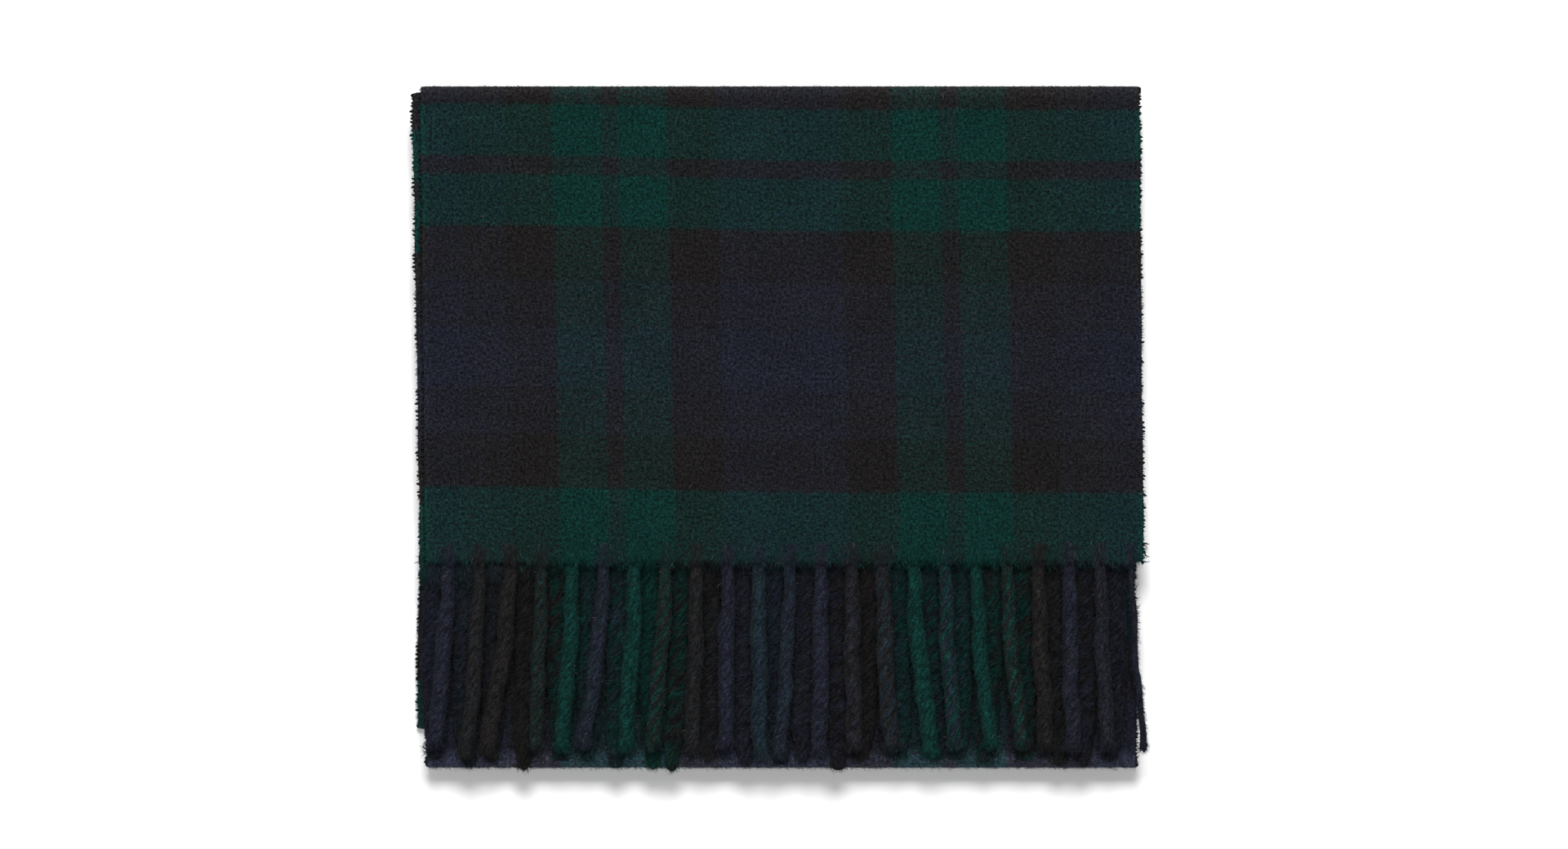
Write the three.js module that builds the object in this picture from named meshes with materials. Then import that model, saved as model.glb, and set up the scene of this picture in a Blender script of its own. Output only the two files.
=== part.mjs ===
// A woven wool tartan wrap with twisted fringes at both ends.
// It is doubled end to end and then folded into four panels, so eight layers of cloth lie in the stack.
// Units are millimetres. X runs across the cloth, +Y points to the top crease, and +Z is up.
// The origin is in the middle of the face that the folded cloth rests on.
import * as THREE from "three";

// Cloth
const CLOTH_WIDTH = 250;
const THICKNESS = 1.8;
const PITCH = 2.1; // from one layer's middle to the next one's
const HALF = THICKNESS / 2;

// Folded shape
const CREASE_EDGE = 119; // how far the top and bottom creases reach along Y
const INNER_CREASE_EDGE = 113; // the lower top crease lies further in, under the stack
const MID_FOLD_EDGE = -106; // the fold in the middle of the cloth's length
const OUTER_FOLD = 1.5 * PITCH; // middle radius of the outer cloth at a crease
const INNER_FOLD = 0.5 * PITCH; // middle radius of the inner cloth at a crease
const HINGE_OPENING = 0.9; // each crease is open this much, so that its two sides turn freely
const HALF_TURN = Math.PI / 2;
const ARC_STEPS = 6;

// Sideways shift of each doubled layer
const TOP_SHIFT = 0.8;
const SECOND_END_SHIFT = -1.8;
const THIRD_SHIFT = -0.6;
const BASE_SHIFT = -1.2;

// Fringe
const TASSELS = 23;
const TASSEL_PITCH = 10.8;
const TOP_FRINGE_SHIFT = 2.2; // the upper row sits a little to the right on its cloth
const UNDER_FRINGE_SHIFT = -0.6; // and the lower row a little to the left, in the upper row's gaps
const ROOT_GAP = 0.3;
const TOP_ROOT_Y = -46.7;
const UNDER_ROOT_Y = -52.7;
const TOP_TASSEL = { width: 6.2, height: 4.4, length: 67.0, rise: 9.0, bottom: 15.9 };
const UNDER_TASSEL = { width: 5.6, height: 3.0, length: 65.5, rise: 5.0, bottom: 12.6 };
const LAST_TOP_TASSEL = { ...TOP_TASSEL, width: 2.6, height: 2.6 }; // only a thin cord
const TASSEL_SIDES = 8;
const TASSEL_STEPS = 7;
const TIP_NARROWING = 0.7;

// How far each tassel's tip lies to the right of its root, from the left one to the right one.
const TOP_LEANS = [
  -5.1, -4.2, -8.6, -2.3, -3.7, -7.4, -3.4, -5.1, -1.7, -0.9, 0.6, -3.6,
  -0.3, 0.9, 3.1, 6.2, 3.7, 5.4, 5.6, 3.1, 1.1, 2.6, 4.5,
];
const UNDER_LEANS = [
  0.8, 1.6, -1.2, -0.9, 1.4, 0.4, -0.8, 1.2, -3.2, -1.8, 0.6, 2.2,
  -1.4, 1.1, -2.1, 0.5, 2.3, -0.8, -2.9, 1.2, 2.4, -0.6, -1.5,
];

const wool = (name, color) => {
  const material = new THREE.MeshStandardMaterial({ color, roughness: 0.95, metalness: 0 });
  material.name = name;
  return material;
};

const tartanWool = () => wool("tartan_wool", 0x172c30);
const tassels = () => wool("tassel_wool", 0x161b26);

// The middle height of a layer. Layer 0 is the lowest one.
const layerZ = (layer) => HALF + layer * PITCH;

// Stations of a cloth's middle line are { y, z, heading }, with the heading turning from +Y towards +Z.
const straightTo = (y, z) => [{ y, z, heading: 0 }];

const turn = (y, z, radius, start, sweep) => {
  const stations = [];
  for (let k = 0; k <= ARC_STEPS; k += 1) {
    const angle = start + (sweep * k) / ARC_STEPS;
    stations.push({
      y: y + radius * Math.cos(angle),
      z: z + radius * Math.sin(angle),
      heading: angle + Math.sign(sweep) * HALF_TURN,
    });
  }
  return stations;
};

// A quarter of a crease, from its open end to the flat cloth at the -Y end of a layer.
// Side +1 bends up towards the next panel, and side -1 bends down.
const leftQuarter = (edge, layer, radius, outerRadius, side) => {
  const y = -edge + outerRadius + HALF;
  const short = Math.asin(HINGE_OPENING / 2 / radius);
  const start = Math.PI + side * short;
  return turn(y, layerZ(layer) + side * radius, radius, start, side * (HALF_TURN - short));
};

// The same at the +Y end, from the flat cloth to the open end.
const rightQuarter = (edge, layer, radius, outerRadius, side) => {
  const y = edge - outerRadius - HALF;
  const short = Math.asin(HINGE_OPENING / 2 / radius);
  return turn(y, layerZ(layer) + side * radius, radius, -side * HALF_TURN, side * (HALF_TURN - short));
};

// Extrudes a ribbon of the cloth's thickness along X, centred on the shift.
const clothMesh = (name, stations, shift) => {
  const offset = ({ y, z, heading }, side) =>
    new THREE.Vector2(y - side * HALF * Math.sin(heading), z + side * HALF * Math.cos(heading));
  const upper = stations.map((station) => offset(station, 1));
  const lower = stations.map((station) => offset(station, -1)).reverse();
  const outline = new THREE.Shape([...lower, ...upper]);
  const geometry = new THREE.ExtrudeGeometry(outline, { depth: CLOTH_WIDTH, bevelEnabled: false });
  geometry.translate(0, 0, -CLOTH_WIDTH / 2);
  geometry.rotateX(HALF_TURN);
  geometry.rotateZ(HALF_TURN);
  const mesh = new THREE.Mesh(geometry, tartanWool());
  mesh.name = name;
  mesh.position.x = shift;
  return mesh;
};

// Panel 1: the two ends of the cloth, which lie on top.
const topFlap = () => [
  clothMesh(
    "top_flap_upper_cloth",
    [
      ...straightTo(TOP_ROOT_Y, layerZ(7)),
      ...rightQuarter(CREASE_EDGE, 7, OUTER_FOLD, OUTER_FOLD, -1),
    ],
    TOP_SHIFT,
  ),
  clothMesh(
    "top_flap_lower_cloth",
    [
      ...straightTo(UNDER_ROOT_Y, layerZ(6)),
      ...rightQuarter(CREASE_EDGE, 6, INNER_FOLD, OUTER_FOLD, -1),
    ],
    SECOND_END_SHIFT,
  ),
];

// A panel between two creases: the upper and lower cloth of the pair whose lower layer is given.
const middlePanel = (name, lowerLayer, left, right, shift) => {
  const upperRadius = (crease) => (crease.side > 0 ? INNER_FOLD : OUTER_FOLD);
  const lowerRadius = (crease) => (crease.side > 0 ? OUTER_FOLD : INNER_FOLD);
  const cloth = (part, layer, radiusOf) =>
    clothMesh(
      `${name}_${part}_cloth`,
      [
        ...leftQuarter(left.edge, layer, radiusOf(left), OUTER_FOLD, left.side),
        ...rightQuarter(right.edge, layer, radiusOf(right), OUTER_FOLD, right.side),
      ],
      shift,
    );
  return [
    cloth("upper", lowerLayer + 1, upperRadius),
    cloth("lower", lowerLayer, lowerRadius),
  ];
};

const secondPanel = () =>
  middlePanel("second_panel", 4, { edge: CREASE_EDGE, side: -1 }, { edge: CREASE_EDGE, side: 1 }, 0);

const thirdPanel = () =>
  middlePanel(
    "third_panel",
    2,
    { edge: CREASE_EDGE, side: 1 },
    { edge: INNER_CREASE_EDGE, side: -1 },
    THIRD_SHIFT,
  );

// Panel 4: the middle of the cloth's length, which turns back on itself at the mid fold.
const basePanel = () => {
  const foldY = MID_FOLD_EDGE + INNER_FOLD + HALF;
  const intoCrease = rightQuarter(INNER_CREASE_EDGE, 1, INNER_FOLD, OUTER_FOLD, 1);
  const outOfCrease = rightQuarter(INNER_CREASE_EDGE, 0, OUTER_FOLD, OUTER_FOLD, 1);
  const backwards = (station) => ({ ...station, heading: station.heading + Math.PI });
  return clothMesh(
    "base_panel_cloth",
    [
      ...intoCrease.reverse().map(backwards),
      ...turn(foldY, layerZ(0) + INNER_FOLD, INNER_FOLD, HALF_TURN, Math.PI),
      ...outOfCrease,
    ],
    BASE_SHIFT,
  );
};

// A tassel's middle line and half sizes at a share of its length: it swells below its root,
// settles at its own height, and narrows a little at the tip.
const tasselStation = (kind, rootZ, lean, share) => {
  const along = share * kind.length;
  const settled = THREE.MathUtils.smoothstep(along, 0, kind.rise);
  const swell = 0.6 + 0.4 * settled;
  const taper = 1 - (1 - TIP_NARROWING) * THREE.MathUtils.smoothstep(share, 0.85, 1);
  return {
    x: lean * share * share * (1.6 - 0.6 * share),
    y: -along,
    z: THREE.MathUtils.lerp(rootZ, kind.bottom + kind.height / 2, settled),
    halfWidth: (kind.width / 2) * swell * taper,
    halfHeight: THREE.MathUtils.lerp(HALF - 0.1, (kind.height / 2) * taper, settled),
  };
};

// A closed tube of elliptical rings along the tassel.
const tasselGeometry = (kind, rootZ, lean) => {
  const positions = [];
  for (let step = 0; step <= TASSEL_STEPS; step += 1) {
    const { x, y, z, halfWidth, halfHeight } = tasselStation(kind, rootZ, lean, step / TASSEL_STEPS);
    for (let side = 0; side < TASSEL_SIDES; side += 1) {
      const angle = (2 * Math.PI * side) / TASSEL_SIDES;
      positions.push(x + halfWidth * Math.cos(angle), y, z + halfHeight * Math.sin(angle));
    }
  }
  const faces = [];
  for (let side = 0; side < TASSEL_SIDES; side += 1) {
    const next = (side + 1) % TASSEL_SIDES;
    for (let step = 0; step < TASSEL_STEPS; step += 1) {
      const near = step * TASSEL_SIDES;
      const far = near + TASSEL_SIDES;
      faces.push(near + side, near + next, far + next);
      faces.push(near + side, far + next, far + side);
    }
  }
  const tip = TASSEL_STEPS * TASSEL_SIDES;
  for (let side = 1; side < TASSEL_SIDES - 1; side += 1) {
    faces.push(0, side + 1, side);
    faces.push(tip, tip + side, tip + side + 1);
  }
  const geometry = new THREE.BufferGeometry();
  geometry.setAttribute("position", new THREE.Float32BufferAttribute(positions, 3));
  geometry.setIndex(faces);
  geometry.computeVertexNormals();
  return geometry;
};

const fringe = (name, kind, lastKind, leans, rootY, layer, middleX) =>
  leans.map((lean, index) => {
    const shape = index === TASSELS - 1 ? lastKind : kind;
    const mesh = new THREE.Mesh(tasselGeometry(shape, layerZ(layer), lean), tassels());
    mesh.name = `${name}_tassel_${String(index + 1).padStart(2, "0")}`;
    const x = middleX + (index - (TASSELS - 1) / 2) * TASSEL_PITCH;
    mesh.position.set(x, rootY - ROOT_GAP, 0);
    return mesh;
  });

const blanket = new THREE.Group();
blanket.add(basePanel());
blanket.add(...thirdPanel());
blanket.add(...secondPanel());
blanket.add(...topFlap());
const topX = TOP_SHIFT + TOP_FRINGE_SHIFT;
const underX = SECOND_END_SHIFT + UNDER_FRINGE_SHIFT;
blanket.add(...fringe("top", TOP_TASSEL, LAST_TOP_TASSEL, TOP_LEANS, TOP_ROOT_Y, 7, topX));
blanket.add(...fringe("under", UNDER_TASSEL, UNDER_TASSEL, UNDER_LEANS, UNDER_ROOT_Y, 6, underX));

export default blanket;
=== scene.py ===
"""The looks of a folded wool tartan wrap with twisted fringes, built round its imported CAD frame.

Sizes are in millimetres until a mesh is made. Two numbers place a point on the cloth: `across` is how far
it lies from the middle of the width, and `along` is where it lies in the weft's order of colours.
"""
import math
from dataclasses import dataclass

import bpy
import numpy as np
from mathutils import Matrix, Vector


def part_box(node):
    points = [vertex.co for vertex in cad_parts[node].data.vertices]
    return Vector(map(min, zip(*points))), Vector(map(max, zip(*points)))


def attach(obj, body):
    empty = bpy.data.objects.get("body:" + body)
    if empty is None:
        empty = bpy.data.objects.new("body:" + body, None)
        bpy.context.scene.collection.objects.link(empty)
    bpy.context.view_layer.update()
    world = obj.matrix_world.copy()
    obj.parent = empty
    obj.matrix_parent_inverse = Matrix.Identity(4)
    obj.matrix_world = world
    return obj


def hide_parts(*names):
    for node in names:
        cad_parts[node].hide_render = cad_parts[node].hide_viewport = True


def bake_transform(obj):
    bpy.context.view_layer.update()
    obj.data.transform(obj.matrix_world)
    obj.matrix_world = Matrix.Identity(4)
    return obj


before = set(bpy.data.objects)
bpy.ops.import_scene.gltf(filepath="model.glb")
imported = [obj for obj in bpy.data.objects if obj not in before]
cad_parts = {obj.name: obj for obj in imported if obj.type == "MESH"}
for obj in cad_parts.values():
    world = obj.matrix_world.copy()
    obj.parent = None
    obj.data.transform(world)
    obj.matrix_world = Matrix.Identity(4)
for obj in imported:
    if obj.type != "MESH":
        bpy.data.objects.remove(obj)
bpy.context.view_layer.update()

MM = 0.001


def cad_box(node):
    """The lowest and highest corner of a CAD node, in millimetres."""
    low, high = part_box(node)
    return np.array(low) / MM, np.array(high) / MM


FLAP_LOW, FLAP_HIGH = cad_box("top_flap_upper_cloth")
UNDER_LOW, UNDER_HIGH = cad_box("top_flap_lower_cloth")
SECOND_LOW, SECOND_HIGH = cad_box("second_panel_upper_cloth")
THIRD_LOW, THIRD_HIGH = cad_box("third_panel_upper_cloth")
BASE_LOW, BASE_HIGH = cad_box("base_panel_cloth")

# The stack of layers, from the CAD
WIDTH = FLAP_HIGH[0] - FLAP_LOW[0]
PITCH = FLAP_HIGH[2] - UNDER_HIGH[2]
THICKNESS = BASE_HIGH[2] - PITCH
OUTER_RADIUS = 1.5 * PITCH
INNER_RADIUS = 0.5 * PITCH
OUTER_REACH = OUTER_RADIUS + THICKNESS / 2
TOP_CREASE_Y = FLAP_HIGH[1] - OUTER_REACH
BOTTOM_CREASE_Y = SECOND_LOW[1] + OUTER_REACH
LOW_CREASE_Y = THIRD_HIGH[1] - OUTER_REACH
MID_FOLD_Y = BASE_LOW[1] + INNER_RADIUS + THICKNESS / 2
TOP_ROOT_Y = FLAP_LOW[1]
UNDER_ROOT_Y = UNDER_LOW[1]
TASSELS = 23

# The cloth's own measures
HALF = 0.95  # half the thickness of the napped cloth
EDGE_BAND = 1.7  # the strip along each edge where only the weft shows
TOOTH_PITCH = 1.4  # between two turns of the weft at the edge
END_GREEN = 26.6  # the weft stays green for this far from each fringe

# The order of colours from the middle of the broad navy stripe to the middle of the next block, where the
# order turns back: a colour and its width. The weft is beaten a little more loosely than the warp is set.
SETT = [
    ("navy", 9.4),
    ("gloom", 2.3),
    ("dusk", 4.8),
    ("gloom", 2.8),
    ("dusk", 4.8),
    ("black", 16.8),
    ("green", 17.2),
    ("line", 5.8),
    ("green", 16.8),
    ("black", 17.4),
    ("navy", 16.6),
    ("dusk", 3.4),
    ("navy", 2.0),
]
SETT_LENGTH = sum(width for _, width in SETT)
WARP_PIVOT = SETT_LENGTH + 0.4
WEFT_SCALE = 1.048
WEFT_PIVOT = 71.3
WEFT_BOW = 2.1  # the weft runs this much closer to the fringe on the right than on the left

# sRGB colours of the yarns
YARNS = {
    "navy": (21, 23, 32),
    "black": (20, 19, 19),
    "green": (6, 34, 31),
    "line": (20, 22, 24),
    "slate": (18, 27, 33),
    "dusk": (21, 22, 28),
    "gloom": (21, 21, 25),
    "moss": (13, 26, 25),
}
PALE_FIBRE = (118, 120, 120)

rng = np.random.default_rng(11)


def smooth(share):
    """0 below 0, 1 above 1, and an S-curve in between."""
    share = np.clip(share, 0.0, 1.0)
    return share * share * (3 - 2 * share)


def lerp(a, b, share):
    return a + (b - a) * share


def wander(position, longest, seed):
    """A smooth random curve between about -1 and 1, whose longest wave is the given length."""
    draw = np.random.default_rng(seed)
    total = 0.0
    for octave in range(3):
        phase = draw.uniform(0, math.tau)
        length = longest / (1.7**octave) * draw.uniform(0.85, 1.15)
        total = total + np.sin(math.tau * position / length + phase) * 0.6**octave
    return total / 1.96


# ---------------- materials


def linear(colour, gain=1.0):
    """An sRGB colour of 0 to 255 as a linear one with alpha."""
    values = [value / 255 for value in colour]
    values = [v / 12.92 if v <= 0.04045 else ((v + 0.055) / 1.055) ** 2.4 for v in values]
    return (*[min(1.0, v * gain) for v in values], 1.0)


MELANGE_SCALE = 2.1  # fibres of one shade in a millimetre
MELANGE_DEPTH = 0.75  # how far the shades spread about the yarn's colour


class Wool:
    """A wool material, and short ways to add nodes to it."""

    def __init__(self, name):
        self.material = bpy.data.materials.new(name)
        self.material.use_nodes = True
        self.nodes = self.material.node_tree.nodes
        self.links = self.material.node_tree.links
        self.shader = self.nodes["Principled BSDF"]
        self.shader.inputs["Roughness"].default_value = 0.95
        self.shader.inputs["Specular IOR Level"].default_value = 0.04
        self.shader.inputs["Sheen Weight"].default_value = 0.015
        self.shader.inputs["Sheen Roughness"].default_value = 0.5

    def add(self, kind, inputs=(), output=0, **settings):
        """Adds a node, sets or links its inputs by number or name, and returns one of its outputs."""
        node = self.nodes.new(kind)
        for key, value in settings.items():
            setattr(node, key, value)
        for key, value in dict(inputs).items():
            if isinstance(value, bpy.types.NodeSocket):
                self.links.new(value, node.inputs[key])
            else:
                node.inputs[key].default_value = value
        return node.outputs[output]

    def math(self, operation, a, b=0.0):
        return self.add("ShaderNodeMath", {0: a, 1: b}, operation=operation)

    def product(self, value, *others):
        for other in others:
            value = self.math("MULTIPLY", value, other)
        return value

    def spread(self, value, low, high, to_low, to_high):
        """Maps a value between two limits to two others, clamped."""
        inputs = {"Value": value, "From Min": low, "From Max": high, "To Min": to_low, "To Max": to_high}
        return self.add("ShaderNodeMapRange", inputs)

    def swing(self, noise, to_low, to_high):
        """Maps the range that holds nearly all of a noise to two limits."""
        return self.spread(noise, 0.3, 0.7, to_low, to_high)

    def noise(self, vector, scale, detail=2.0, roughness=0.6, distortion=0.0, output=0):
        inputs = {"Vector": vector, "Scale": scale, "Detail": detail, "Roughness": roughness}
        return self.add("ShaderNodeTexNoise", {**inputs, "Distortion": distortion}, output)

    def soft_noise(self, vector, scale):
        """Blobs of one size, which stay clear at the distance that the cloth is seen from."""
        return self.noise(vector, scale, 1.0, 0.5)

    def curls(self, vector, scale, thinness):
        """Thin curling lines, 1 on a line and 0 off it, like fibres lying in the nap."""
        field = self.noise(vector, scale, 1.0, 0.5, distortion=0.8)
        off_line = self.math("ABSOLUTE", self.math("SUBTRACT", field, 0.5))
        return self.spread(off_line, 0.0, thinness, 1.0, 0.0)

    def mix(self, share, a, b, blend="MIX"):
        inputs = {0: share, 6: a, 7: b}
        return self.add("ShaderNodeMix", inputs, output=2, data_type="RGBA", blend_type=blend)

    def scaled(self, colour, gain):
        """A colour times a value."""
        return self.add("ShaderNodeVectorMath", {0: colour, "Scale": gain}, operation="SCALE")

    def attribute(self, name, output=2):
        return self.add("ShaderNodeAttribute", output=output, attribute_name=name)

    def melange(self, colour, vector):
        """A colour whose red, green and blue waver from fibre to fibre, as in wool dyed before spinning."""
        waver = self.noise(vector, MELANGE_SCALE, 1.0, 0.5, output=1)
        inputs = {0: waver, 1: (2 * MELANGE_DEPTH,) * 3, 2: (1.0 - MELANGE_DEPTH,) * 3}
        gain = self.add("ShaderNodeVectorMath", inputs, operation="MULTIPLY_ADD")
        gain = self.add("ShaderNodeVectorMath", {0: gain, 1: (0.05, 0.05, 0.05)}, operation="MAXIMUM")
        return self.add("ShaderNodeVectorMath", {0: colour, 1: gain}, operation="MULTIPLY")

    def finish(self, colour, height, depth):
        """Wires the colour and a fine relief of this depth into the shader."""
        self.links.new(colour, self.shader.inputs["Base Color"])
        bump = self.add("ShaderNodeBump", {"Height": height, "Distance": depth * MM, "Strength": 1.0})
        self.links.new(bump, self.shader.inputs["Normal"])
        return self.material


def sett_ramp(wool, position, scale):
    """The yarn colour at a position in the order of colours, which turns back at both of its ends."""
    folded = wool.math("PINGPONG", position, SETT_LENGTH * scale)
    share = wool.math("DIVIDE", folded, SETT_LENGTH * scale)
    node = wool.nodes.new("ShaderNodeValToRGB")
    node.color_ramp.interpolation = "CONSTANT"
    start = 0.0
    for index, (colour, width) in enumerate(SETT):
        stops = node.color_ramp.elements
        stop = stops[0] if index == 0 else stops.new(start / SETT_LENGTH)
        stop.color = linear(YARNS[colour])
        start += width
    # A new ramp comes with a white last stop.
    node.color_ramp.elements.remove(node.color_ramp.elements[-1])
    wool.links.new(share, node.inputs[0])
    return node.outputs[0]


STRAY_REACH = 1.7  # how far a fibre may lie from its own stripe
FACE_GAP = 40.0  # keeps the textures of the two faces apart
CURL_GAIN = 0.9  # how much brighter a curling fibre is
CLOTH_RELIEF = 0.2
TASSEL_RELIEF = 0.35


def tartan_material():
    """Warp and weft stripes that cross, blurred and flecked by the raised nap."""
    wool = Wool("tartan_wool")
    across = wool.attribute("across")
    along = wool.attribute("along")
    apart = wool.product(wool.attribute("face"), FACE_GAP)
    place = wool.add("ShaderNodeCombineXYZ", {0: across, 1: wool.attribute("distance"), 2: apart})
    stray = wool.noise(place, 1.2, 4.0, 0.75, output=1)
    strays = wool.add("ShaderNodeSeparateColor", {0: stray}).node.outputs

    def strayed(position, channel):
        """A position as its fibres have it, which cross the edges of the stripes."""
        strayed_by = wool.spread(strays[channel], 0.25, 0.75, -STRAY_REACH, STRAY_REACH)
        return wool.math("ADD", position, strayed_by)

    warp = sett_ramp(wool, wool.math("SUBTRACT", strayed(across, 0), WARP_PIVOT), 1.0)
    weft_place = strayed(along, 1)
    weft = sett_ramp(wool, wool.math("SUBTRACT", weft_place, WEFT_PIVOT), WEFT_SCALE)
    weft = wool.mix(wool.math("LESS_THAN", weft_place, END_GREEN), weft, linear(YARNS["green"]))

    fleck = wool.soft_noise(place, 2.1)
    weft_share = wool.spread(fleck, 0.37, 0.6, 0.12, 0.98)
    from_middle = wool.math("ABSOLUTE", strayed(across, 2))
    band_start = WIDTH / 2 - EDGE_BAND
    edge = wool.spread(from_middle, band_start - 0.5, band_start + 0.9, 0.0, 1.0)
    colour = wool.mix(wool.math("MAXIMUM", weft_share, edge), warp, weft)

    tufts = wool.soft_noise(place, 1.0)
    grain = wool.soft_noise(place, 2.4)
    curls = wool.math("MAXIMUM", wool.curls(place, 1.5, 0.09), wool.curls(place, 2.3, 0.12))
    mottle = wool.noise(place, 0.05, 2.0)
    gain = wool.product(
        wool.math("ADD", wool.swing(grain, 0.15, 1.15), wool.product(curls, CURL_GAIN)),
        wool.swing(tufts, 0.4, 1.6),
        wool.swing(mottle, 0.9, 1.1),
        wool.spread(edge, 0.0, 1.0, 1.0, 1.35),
        # painted light: a gain that paints highlight on the creases and shade on the end of the lower
        # fringe's cloth
        wool.math("ADD", wool.attribute("painted_light"), 1.0),
    )
    height = wool.math("ADD", grain, wool.math("ADD", tufts, wool.product(curls, 0.3)))
    colour = wool.melange(wool.scaled(colour, gain), place)
    return wool.finish(colour, height, CLOTH_RELIEF)


def tassel_material(first, second, banded):
    """Felted strands of two colours twisted together, with streaks and fibres that run round with them.
    The colours keep to their own plies where it is banded, and are carded together where it isn't."""
    wool = Wool(f"twisted_{first}_{second}")
    strand = wool.attribute("strand", output=1)
    stretched = wool.add("ShaderNodeVectorMath", {0: strand, 1: (1.0, 1.0, 0.3)}, operation="MULTIPLY")
    streak = wool.soft_noise(stretched, 1.3)
    grain = wool.soft_noise(strand, 1.5)
    curls = wool.math("MAXIMUM", wool.curls(stretched, 0.95, 0.10), wool.curls(strand, 1.2, 0.10))
    if banded:
        stray = wool.swing(grain, -0.5, 0.5)
        share = wool.spread(wool.math("ADD", wool.attribute("ply"), stray), 0.1, 0.9, 0.0, 1.0)
    else:
        share = wool.spread(wool.noise(stretched, 0.45, 2.0, 0.7), 0.4, 0.6, 0.0, 1.0)
    colour = wool.mix(share, linear(YARNS[first]), linear(YARNS[second]))
    gain = wool.product(
        wool.math("ADD", wool.swing(grain, 0.3, 1.3), wool.product(curls, CURL_GAIN)),
        wool.swing(streak, 0.45, 1.5),
        # painted light: lighter on the tassel's top, darker on its sides and near its root, as shading
        wool.attribute("painted_tassel_shading"),
    )
    height = wool.math("ADD", grain, wool.math("ADD", streak, wool.product(curls, 0.25)))
    colour = wool.melange(wool.scaled(colour, gain), strand)
    return wool.finish(colour, height, TASSEL_RELIEF)


PAINTED_FIBRE_LIGHT = (0.7, 1.5, 3.4)  # painted light on a fibre: painted shade deep in the nap, half out of it, and painted highlight where it lies on it
PALE_SHARE = 0.006  # the share of stray white fibres
PALE_GAIN = 0.5

# What share of the fibres has each painted-light gain: in the open cloth, at its ends, on the bottom crease,
# where the painted highlight is strongest, and where the tassels begin.
MIXED = (0.45, 0.38, 0.17)
BRIGHT = (0.1, 0.4, 0.5)
CREASE_HIGHLIGHT = (0.0, 0.3, 0.7)
ENTERED = (0.15, 0.5, 0.35)


def plain_wool(name, colour, gain):
    wool = Wool(name)
    wool.shader.inputs["Base Color"].default_value = linear(colour, gain)
    return wool.material


def fibre_materials():
    """One plain material for each yarn colour and painted-light gain, and a pale one for stray white fibres.
    """
    shades = [(colour, gain) for colour in YARNS.values() for gain in PAINTED_FIBRE_LIGHT]
    made = [plain_wool(f"fibre_{number:02d}", *shade) for number, shade in enumerate(shades)]
    return [*made, plain_wool("fibre_pale", PALE_FIBRE, PALE_GAIN)]


TARTAN = tartan_material()
FIBRES = fibre_materials()
YARN_NUMBER = {name: number for number, name in enumerate(YARNS)}


def fibre_choice(yarns, shares=MIXED):
    """The number of a fibre material for each yarn number, with the painted-light gains in the given shares.
    """
    gain = rng.choice(len(PAINTED_FIBRE_LIGHT), size=len(yarns), p=shares)
    choice = yarns * len(PAINTED_FIBRE_LIGHT) + gain
    return np.where(rng.random(len(yarns)) < PALE_SHARE, len(FIBRES) - 1, choice)


def yarn_at(position, scale):
    """The number of the yarn colour at positions measured from a pivot of the order of colours."""
    length = SETT_LENGTH * scale
    folded = np.abs((position - length) % (2 * length) - length)
    ends = np.cumsum([width for _, width in SETT]) * scale
    numbers = np.array([YARN_NUMBER[colour] for colour, _ in SETT])
    return numbers[np.clip(np.searchsorted(ends, folded), 0, len(SETT) - 1)]


def cloth_yarn(across, along):
    """The yarn that a fibre at this place is raised from: the warp's or the weft's."""
    warp = yarn_at(across - WARP_PIVOT, 1.0)
    weft = yarn_at(along - WEFT_PIVOT, WEFT_SCALE)
    weft = np.where(along < END_GREEN, YARN_NUMBER["green"], weft)
    only_weft = np.abs(across) > WIDTH / 2 - EDGE_BAND
    return np.where(only_weft | (rng.random(len(across)) < 0.5), weft, warp)


# ---------------- meshes


def add_object(name, data, place=(0, 0, 0)):
    """An object of the scene that shows this mesh, light or camera."""
    thing = bpy.data.objects.new(name, data)
    thing.location = place
    bpy.context.scene.collection.objects.link(thing)
    return thing


def make_mesh(name, points, faces, materials, face_materials=None, numbers=(), vectors=()):
    """A smooth-shaded object from points in millimetres and faces of one size, or a list of such groups."""
    groups = faces if isinstance(faces, list) else [faces]
    mesh = bpy.data.meshes.new(name)
    mesh.vertices.add(len(points))
    mesh.vertices.foreach_set("co", (np.asarray(points) * MM).astype(np.float32).ravel())
    sizes = np.concatenate([np.full(len(group), group.shape[1]) for group in groups])
    corners = np.concatenate([group.ravel() for group in groups])
    mesh.loops.add(len(corners))
    mesh.loops.foreach_set("vertex_index", corners.astype(np.int32))
    mesh.polygons.add(len(sizes))
    mesh.polygons.foreach_set("loop_start", (np.cumsum(sizes) - sizes).astype(np.int32))
    mesh.polygons.foreach_set("use_smooth", np.ones(len(sizes), bool))
    for material in materials:
        mesh.materials.append(material)
    if face_materials is not None:
        mesh.polygons.foreach_set("material_index", face_materials.astype(np.int32))
    mesh.update(calc_edges=True)
    mesh.validate()
    for key, values in dict(numbers).items():
        mesh.attributes.new(key, "FLOAT", "POINT").data.foreach_set("value", values.astype(np.float32))
    for key, values in dict(vectors).items():
        field = mesh.attributes.new(key, "FLOAT_VECTOR", "POINT")
        field.data.foreach_set("vector", values.astype(np.float32).ravel())
    return add_object(name, mesh)


def ring_faces(rings, sides):
    """Quads between rings of points that follow each other, each ring closed."""
    ring, side = np.meshgrid(np.arange(rings - 1), np.arange(sides), indexing="ij")
    near = ring * sides
    following = (side + 1) % sides
    quads = np.stack([near + side, near + following, near + sides + following, near + sides + side], -1)
    return quads.reshape(-1, 4)


def unit(vectors):
    return vectors / np.maximum(np.linalg.norm(vectors, axis=-1, keepdims=True), 1e-9)


def joined(parts):
    """Joins tuples of arrays, column by column."""
    return [np.concatenate(column) for column in zip(*parts)]


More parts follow.
